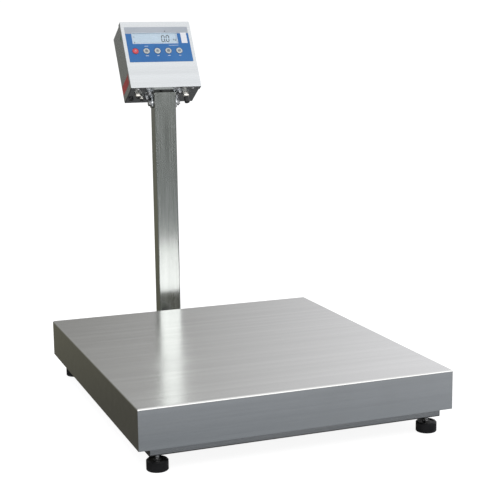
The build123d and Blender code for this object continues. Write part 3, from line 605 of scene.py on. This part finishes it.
# thin frame round the display window
ms = Mesh()
outer, inner = rrect(127.0, 34.0, 0.8, 4, -8, 148), rrect(125.6, 32.6, 0.5, 4, -8, 148)
k = len(outer)
verts = [(x, y, z) for z in (0.4, 0.46) for x, y in outer] + [(x, y, z) for z in (0.4, 0.46) for x, y in inner]
faces = []
for i in range(k):
    j = (i + 1) % k
    faces += [(i, j, k + j, k + i), (2 * k + i, 3 * k + i, 3 * k + j, 2 * k + j), (k + i, k + j, 3 * k + j, 3 * k + i), (i, 2 * k + i, 2 * k + j, j)]
ms.add(verts, faces)
o = ms.make("window_frame", ["ink_white"], "head", FACE)

# ------------------------------------------------------------------ stickers that wrap over the cover's edge, on the head's left side
def side_x(y):
    """Outer face of the left side at depth y: cover rim, then housing."""
    return -97.5 if y < 15.6 else (-96.0 if y > 17.4 else -97.5 + 1.5 * (y - 15.6) / 1.8)


def side_sheet(name, outline, mat, t_=0.16, hatch=None):
    """A thin sticker: outline in (depth, height), filled as a fan grid that follows side_x."""
    ys = [p[0] for p in outline]
    zs = [p[1] for p in outline]
    me = bmesh.new()
    nx, nz = max(8, int((max(ys) - min(ys)) / 0.8)), max(6, int((max(zs) - min(zs)) / 1.5))
    def inside(y, z):
        c = False
        for (y0, z0), (y1, z1) in zip(outline, outline[1:] + outline[:1]):
            if (z0 > z) != (z1 > z) and y < (y1 - y0) * (z - z0) / (z1 - z0) + y0:
                c = not c
        return c
    grid = {}
    verts, faces = [], []
    for i in range(nx + 1):
        for j in range(nz + 1):
            y = min(ys) + (max(ys) - min(ys)) * i / nx
            z = min(zs) + (max(zs) - min(zs)) * j / nz
            grid[i, j] = (y, z)
    def vid(i, j, lay):
        key_ = (i, j, lay)
        if key_ not in ids:
            y, z = grid[i, j]
            ids[key_] = len(verts)
            verts.append((side_x(y) - (t_ if lay else 0.0), y, z))
        return ids[key_]
    ids = {}
    cells = set()
    for i in range(nx):
        for j in range(nz):
            y = (grid[i, j][0] + grid[i + 1, j + 1][0]) / 2
            z = (grid[i, j][1] + grid[i + 1, j + 1][1]) / 2
            if inside(y, z):
                cells.add((i, j))
    for i, j in cells:
        for lay in (0, 1):
            faces.append(tuple(vid(a, b, lay) for a, b in ((i, j), (i + 1, j), (i + 1, j + 1), (i, j + 1))))
        for (di, dj), (a, b) in (((-1, 0), ((i, j), (i, j + 1))), ((1, 0), ((i + 1, j), (i + 1, j + 1))), ((0, -1), ((i, j), (i + 1, j))), ((0, 1), ((i, j + 1), (i + 1, j + 1)))):
            if (i + di, j + dj) not in cells:
                faces.append((vid(*a, 0), vid(*b, 0), vid(*b, 1), vid(*a, 1)))
    me.free()
    o = make(name, verts, faces, mat, "head", HEAD)
    return o


circle = [(17.0 + 6.3 * math.cos(2 * math.pi * i / 40), 157.0 + 6.8 * math.sin(2 * math.pi * i / 40)) for i in range(40)]
o = side_sheet("seal_sticker", circle, "label_green")
o = side_sheet("side_label", [(10.5, 21.5), (87.0, 21.5), (87.0, 47.0), (10.5, 47.0)], "label_red")

# ------------------------------------------------------------------ glands: ribbed dome nuts
ms = Mesh()
for kind, gx, gy, k in (("open", -73.0, 30.0, 0.80), ("plug", -59.0, 50.0, 0.60), ("cap", 60.0, 32.0, 0.90)):
    at = Matrix.Translation((gx, gy, 1.5))
    def hexnut(z0, z1, af):
        c = 0.5 * k
        pts = hexagon(af, 30)
        small = [(x * 0.94, y * 0.94) for x, y in pts]
        n = 6
        verts = [(x, y, z0) for x, y in small] + [(x, y, z0 + c) for x, y in pts] + [(x, y, z1 - c) for x, y in pts] + [(x, y, z1) for x, y in small]
        faces = [tuple(range(5, -1, -1)), tuple(range(18, 24))] + [(a * 6 + i, a * 6 + (i + 1) % 6, (a + 1) * 6 + (i + 1) % 6, (a + 1) * 6 + i) for a in range(3) for i in range(6)]
        ms.add(verts, faces, 0, at)
    hexnut(-5.5 * k, 0.0, 20 * k)
    hexnut(1.5, 1.5 + 4 * k, 20 * k)
    # dome nut with flutes, open in the middle
    n = 96
    prof = [(9.1, -5.5), (9.6, -6.2), (9.6, -12.0), (9.2, -14.5), (8.2, -17.2), (7.0, -18.6), (5.62, -19.0), (5.6, -14.0), (5.6, 6.0)]
    verts, faces = [], []
    for r, h in prof:
        for i in range(n):
            a = 2 * math.pi * i / n
            flute = 0.28 * max(0.0, math.cos(18 * a)) if (r > 7.5 and h > -17) else 0.0
            verts.append(((r - flute) * k * math.cos(a), (r - flute) * k * math.sin(a), h * k))
    for j in range(len(prof) - 1):
        for i in range(n):
            faces.append((j * n + i, j * n + (i + 1) % n, (j + 1) * n + (i + 1) % n, (j + 1) * n + i))
    ms.add(verts, faces, 0, at)
o = ms.make("gland_bodies", ["nickel"], "head", HEAD)
auto_smooth(o, 30)
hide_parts("cable_glands")

# ------------------------------------------------------------------ cover screws with socket heads
ms = Mesh()
for x in (-76.0, 76.0):
    for zo, s in ((199.0, 1), (0.0, -1)):
        at = Matrix.Translation((x, 11.0, zo)) @ (Matrix.Identity(4) if s > 0 else Matrix.Rotation(math.pi, 4, "X"))
        ms.lathe([(0, 0.7), (1.5, 0.7), (1.5, 1.75), (2.2, 1.75), (3.0, 1.4), (3.55, 0.6), (3.6, 0.0), (2.0, 0.0), (2.0, -6.0), (0, -6.0)], 32, 0, at)
o = ms.make("cover_screw_heads", ["bolt"], "head", HEAD)
auto_smooth(o, 35)
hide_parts("cover_screws")

# ------------------------------------------------------------------ spirit level: fluid, bubble and ring in the vial
ms = Mesh()
at = Matrix.Translation((30.0, 842.0, 75.0))
ms.lathe([(0, 2.2), (8.6, 2.2), (8.6, 6.0), (0, 6.2)], 40, 0, at)
ms.lathe([(2.9, 6.3), (3.3, 6.45), (3.7, 6.3), (3.3, 6.2), (2.9, 6.3)], 40, 1, at)
ms.lathe([(0, 6.25), (1.8, 6.35), (2.2, 6.8), (1.6, 7.3), (0, 7.5)], 32, 2, at)
o = ms.make("level_inside", ["fluid", "ink", "ink_white"], "base", ROW, True)

# ------------------------------------------------------------------ cable link over the tilt joint
CABLE_Y = 943.5
CAP_Z = 705.0 - (CABLE_Y - 915.0) * math.tan(math.radians(40))
ty, tz = 49.0, 45.0
end = (0.0, HEAD_Y + ty * C30 + tz * S30, HEAD_Z - ty * S30 + tz * C30)
ctrl = [Vector((0, CABLE_Y, CAP_Z - 1)), Vector((0, CABLE_Y, CAP_Z + 15)), Vector((0, CABLE_Y + 1.5, end[2] - 19)), Vector((0, end[1] - 4, end[2] - 6)), Vector(end)]
pts = []
for a, b, c, d in zip([ctrl[0]] + ctrl[:-2], ctrl[:-1], ctrl[1:], ctrl[2:] + [ctrl[-1]]):
    for i in range(8):
        u = i / 8.0
        pts.append(0.5 * ((2 * b) + (c - a) * u + (2 * a - 5 * b + 4 * c - d) * u * u + (3 * b - a - 3 * c + d) * u ** 3))
pts.append(ctrl[-1])
ms = Mesh()
ms.tube([tuple(p) for p in pts], 2.5, 16)
o = ms.make("cable_bend", ["cable"], None, ROW, True)
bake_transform(o)
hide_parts("cable_link")

# ------------------------------------------------------------------ stage, light, camera
fm, t, p = new_mat("floor_white")
n1 = t.noise(t.coords(), 1.5, 3.0)
t.link(t.mix(n1, (0.40, 0.40, 0.40), (0.43, 0.43, 0.43)), p.inputs["Base Color"])
p.inputs["Roughness"].default_value = 0.9
p.inputs["Specular IOR Level"].default_value = 0.1
p.inputs["Emission Color"].default_value = (1, 1, 1, 1)
p.inputs["Emission Strength"].default_value = 0.90
me = bpy.data.meshes.new("floor")
S = 60.0
me.from_pydata([(-S, -S, 0), (S, -S, 0), (S, S, 0), (-S, S, 0)], [], [(0, 1, 2, 3)])
me.materials.append(fm)
floor = bpy.data.objects.new("floor", me)
scene.collection.objects.link(floor)
floor.visible_glossy = False

w = bpy.data.worlds.new("studio")
scene.world = w
w.use_nodes = True
w.node_tree.nodes.clear()
t = Tree(w.node_tree)
out = t.add("ShaderNodeOutputWorld")
tc = t.add("ShaderNodeTexCoord")
sep = t.add("ShaderNodeSeparateXYZ")
t.link(tc.outputs["Generated"], sep.inputs[0])
x, y, z = sep.outputs
h = t.math("MULTIPLY_ADD", z, 0.5, 0.5)
Z = lambda v: 0.5 + 0.5 * v
front = t.ramp(h, [(Z(-1), 0.02), (Z(-0.5), 0.03), (Z(-0.34), (0.10, 0.11, 0.12)), (Z(-0.26), (0.20, 0.21, 0.225)), (Z(-0.12), (0.115, 0.12, 0.115)),
                   (Z(0.0), (0.105, 0.11, 0.105)), (Z(0.06), 0.14), (Z(0.085), 0.95), (Z(0.50), 0.95), (Z(0.62), 0.52), (Z(0.9), 0.52), (Z(1), 0.5)])
back = t.ramp(h, [(Z(-1), 0.02), (Z(-0.5), 0.03), (Z(-0.30), (0.035, 0.034, 0.028)), (Z(-0.15), (0.085, 0.083, 0.062)), (Z(-0.05), (0.085, 0.085, 0.075)),
                  (Z(0.05), (0.11, 0.11, 0.105)), (Z(0.25), (0.14, 0.14, 0.135)), (Z(0.6), 0.35), (Z(1), 0.5)])
bright = t.ramp(h, [(Z(-1), 0.03), (Z(-0.3), 0.10), (Z(0.0), 0.28), (Z(0.1), (0.43, 0.43, 0.445)), (Z(0.4), (0.46, 0.46, 0.47)), (Z(1), 0.5)])
az = t.math("ARCTAN2", x, t.math("MAXIMUM", y, 0.001))
side = t.range(az, math.radians(9), math.radians(36))
rear = t.mix(side, back, bright)
col = t.mix(t.range(y, -0.30, 0.25), front, rear)
bg = t.add("ShaderNodeBackground")
t.link(col, bg.inputs["Color"])
bg.inputs["Strength"].default_value = 2.0
white = t.add("ShaderNodeBackground")
white.inputs["Color"].default_value = (1, 1, 1, 1)
white.inputs["Strength"].default_value = 1.05
lp = t.add("ShaderNodeLightPath")
# soft even light for matt surfaces, the studio's own bright and dark areas for mirror-like ones
soft = t.add("ShaderNodeBackground")
soft.inputs["Color"].default_value = (0.97, 0.98, 1.0, 1)
soft.inputs["Strength"].default_value = 0.42
m0 = t.add("ShaderNodeMixShader")
t.link(lp.outputs["Is Glossy Ray"], m0.inputs[0])
t.link(soft.outputs[0], m0.inputs[1])
t.link(bg.outputs[0], m0.inputs[2])
mx = t.add("ShaderNodeMixShader")
t.link(lp.outputs["Is Camera Ray"], mx.inputs[0])
t.link(m0.outputs[0], mx.inputs[1])
t.link(white.outputs[0], mx.inputs[2])
t.link(mx.outputs[0], out.inputs[0])


def area(name, loc, target, size, energy, glossy=False):
    l = bpy.data.lights.new(name, "AREA")
    l.energy, l.size = energy, size
    o = bpy.data.objects.new(name, l)
    o.location = loc
    o.rotation_mode = "QUATERNION"
    o.rotation_quaternion = (Vector(target) - Vector(loc)).to_track_quat("-Z", "Y")
    o.visible_glossy = glossy
    scene.collection.objects.link(o)
    return o


area("key_light", (-1.6, -2.2, 3.2), (0, 0, 0.2), 2.4, 36)
area("fill_light", (2.6, -1.0, 2.6), (0, 0, 0.3), 2.6, 20)
area("top_light", (0.2, 0.6, 3.4), (0, 0.2, 0.0), 3.0, 24)

yaw, pitch, roll = math.radians(20.8658), math.radians(10.1026), math.radians(-0.7192)
fwd = Vector((math.sin(yaw) * math.cos(pitch), math.cos(yaw) * math.cos(pitch), -math.sin(pitch)))
right = Vector((math.cos(yaw), -math.sin(yaw), 0))
up = right.cross(fwd)
r2 = math.cos(roll) * right + math.sin(roll) * up
u2 = -math.sin(roll) * right + math.cos(roll) * up
cam = bpy.data.cameras.new("camera")
cam.sensor_width, cam.lens = 36.0, 1182.277 / 500 * 36.0
cam.clip_start, cam.clip_end = 0.05, 300.0
co = bpy.data.objects.new("camera", cam)
scene.collection.objects.link(co)
loc = Vector((-925.426 * MM, (-2132.177 - YS) * MM, (849.2525 - 8.0) * MM))
m4 = Matrix((r2, u2, -fwd)).transposed().to_4x4()
co.matrix_world = Matrix.Translation(loc) @ m4
scene.camera = co
scene.view_settings.view_transform = "Standard"
scene.view_settings.look = "None"
scene.view_settings.exposure = 0.0
